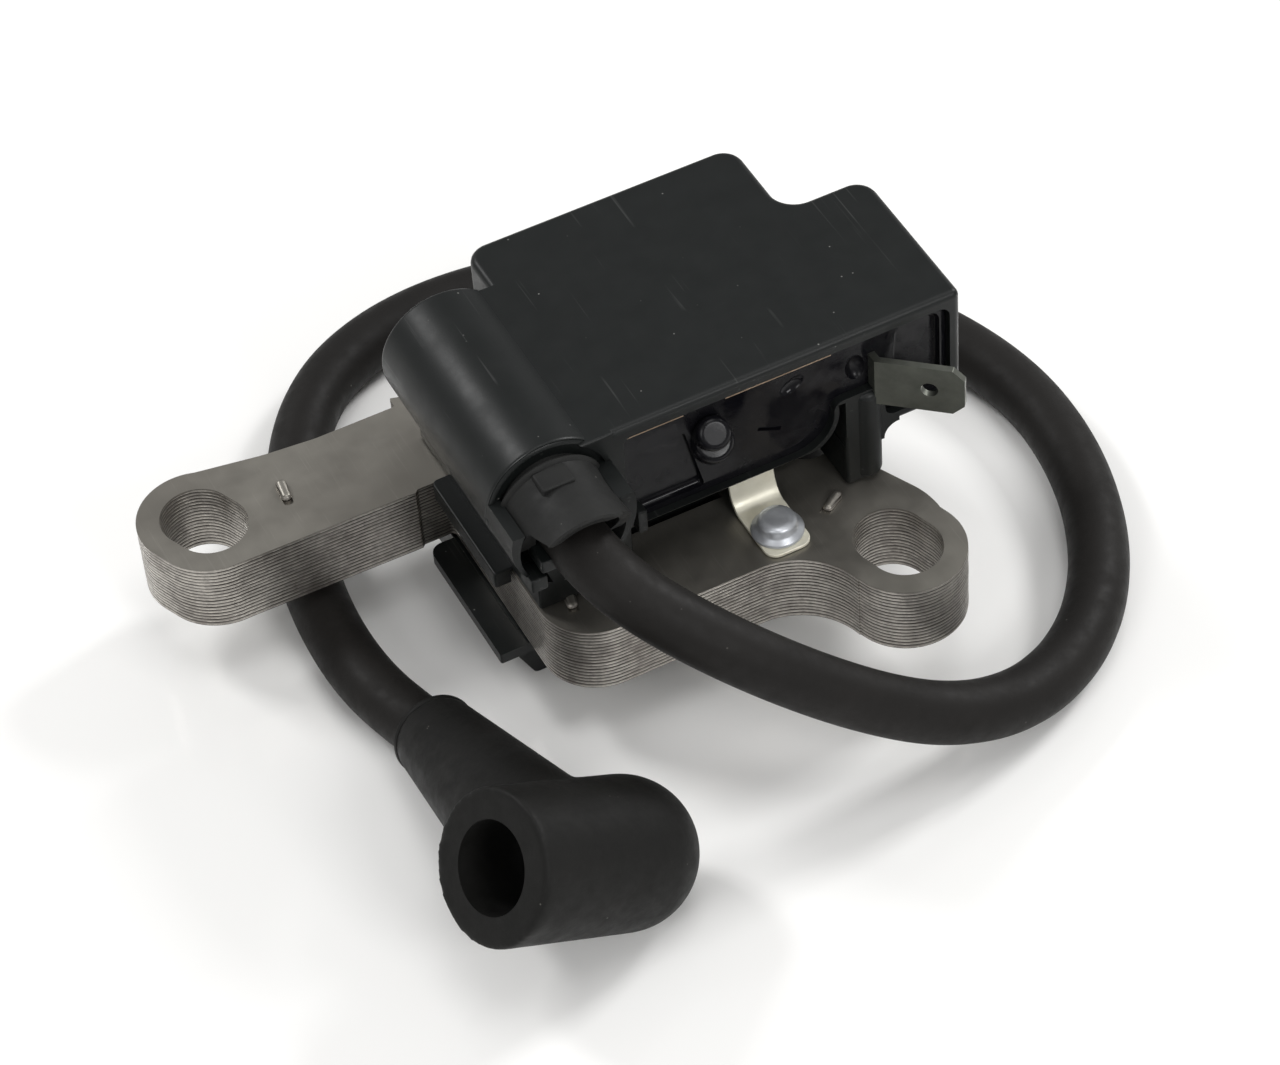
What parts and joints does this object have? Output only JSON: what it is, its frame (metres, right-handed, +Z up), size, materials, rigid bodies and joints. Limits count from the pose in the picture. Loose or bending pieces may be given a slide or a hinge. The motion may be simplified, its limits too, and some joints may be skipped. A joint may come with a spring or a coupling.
{
  "type": "ignition coil",
  "caption": "Small engine ignition coil: a laminated steel core with slotted ears, a potted black housing with a lead tower, a stop terminal, a riveted ground strap, and a lead with a right-angle boot.",
  "frame": {"origin": "Under the middle of the coil on the surface it stands on, with the lead and its boot left out.", "axes": "+X runs to the right along the length of the core, +Y runs back towards the flywheel that the pole faces look at, and +Z is up, square to the steel sheets."},
  "size_m": [0.105, 0.1026, 0.0419],
  "materials": {
    "steel_sheet": "cold rolled steel sheet, punched and stacked, warm grey",
    "housing_plastic": "satin black moulded thermoplastic with fine scratches",
    "potting_resin": "glossy black cast resin",
    "lead_rubber": "matt charcoal insulation",
    "boot_rubber": "matt black moulded rubber",
    "tinned_steel": "tinned steel strip, dull",
    "strap_metal": "pale yellowish tinned strip",
    "rivet_aluminium": "headed aluminium",
    "copper_wire": null,
    "bobbin_nylon": "natural nylon",
    "ferrite": "sintered ferrite, dark grey",
    "board_laminate": "green glass-epoxy laminate",
    "capacitor_film": "dipped film capacitor, brown",
    "component_plastic": "black component moulding",
    "resistor_body": "beige coated ceramic",
    "contact_brass": "turned brass",
    "spring_steel": "bright spring steel"
  },
  "bodies": {
    "root": {"core_lamination_bottom": "steel_sheet", "core_lamination_pack": "steel_sheet", "core_lamination_top": "steel_sheet", "shell": "housing_plastic", "epoxy_fill": "potting_resin", "stop_terminal": "tinned_steel", "ground_strap": "strap_metal", "rivet": "rivet_aluminium", "lead_cap": "housing_plastic", "plug_lead": "lead_rubber", "plug_boot": "boot_rubber", "boot_spring_terminal": "spring_steel", "ht_terminal": "contact_brass", "transformer_core": "ferrite", "primary_bobbin": "bobbin_nylon", "primary_winding": "copper_wire", "secondary_bobbin": "bobbin_nylon", "secondary_winding": "copper_wire", "charge_coil_bobbin": "bobbin_nylon", "charge_coil_winding": "copper_wire", "trigger_coil_bobbin": "bobbin_nylon", "trigger_coil_winding": "copper_wire", "circuit_board": "board_laminate", "storage_capacitor": "capacitor_film", "thyristor": "component_plastic", "resistor_1": "resistor_body", "resistor_2": "resistor_body", "diode_1": "component_plastic", "diode_2": "component_plastic"}
  },
  "joints": []
}
